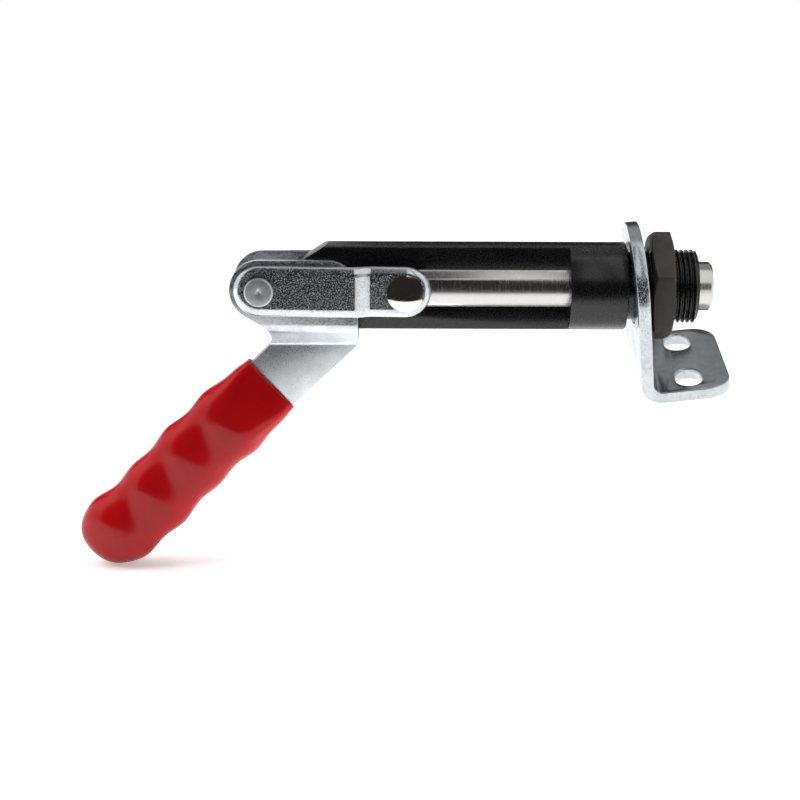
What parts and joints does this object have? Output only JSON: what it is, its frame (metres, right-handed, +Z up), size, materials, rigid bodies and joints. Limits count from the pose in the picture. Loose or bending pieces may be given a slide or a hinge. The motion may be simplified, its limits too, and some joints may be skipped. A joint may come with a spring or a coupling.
{
  "type": "toggle clamp",
  "caption": "Push-pull toggle clamp: round plunger in a flat-sided black body, two offset links, angled dipped grip, threaded nose with lock nut and slotted angle bracket.",
  "frame": {"origin": "on the plunger's axis, in the plane of the shoulder behind the nose thread", "axes": "+X is the way the plunger pushes, +Z up; the handle swings in the X-Z plane about an axis along Y, and -Y is the near side"},
  "size_m": [0.2714, 0.0627, 0.147],
  "materials": {
    "black_oxide": "black oxide, satin",
    "zinc_sheet": "bright zinc plate",
    "ground_steel": "ground",
    "polished_pin": "polished nickel",
    "red_grip": "glossy dip coat"
  },
  "bodies": {
    "frame": {"clamp_body": "black_oxide", "lock_nut": "black_oxide", "mounting_bracket": "zinc_sheet", "pivot_pin": "zinc_sheet", "pivot_spacer_near": "zinc_sheet", "pivot_spacer_far": "zinc_sheet"},
    "handle": {"handle_plate_near": "zinc_sheet", "handle_plate_far": "zinc_sheet", "handle_grip": "red_grip", "link_rivet_near": "zinc_sheet", "link_rivet_far": "zinc_sheet"},
    "links": {"link_near": "zinc_sheet", "link_far": "zinc_sheet", "link_pin_near": "polished_pin", "link_pin_far": "polished_pin"},
    "plunger": {"plunger": "ground_steel", "plunger_pin": "ground_steel"}
  },
  "joints": [
    {"name": "handle_pivot", "type": "hinge", "parent": "frame", "child": "handle", "pos_m": [-0.1214, 0, 0], "axis": [0, 1, 0], "range_deg": [0, 180]},
    {"name": "link_swing", "type": "hinge", "parent": "handle", "child": "links", "pos_m": [-0.149, 0, 0], "axis": [0, 1, 0], "range_deg": [-180, 0]},
    {"name": "plunger_slide", "type": "slide", "parent": "frame", "child": "plunger", "axis": [1, 0, 0], "range_m": [0, 0.0552]}
  ],
  "couplings": [
    {"joint": "link_swing", "follows": "handle_pivot", "ratio": -1},
    {"joint": "plunger_slide", "follows": "handle_pivot", "m_per_rad": 0.017571}
  ]
}
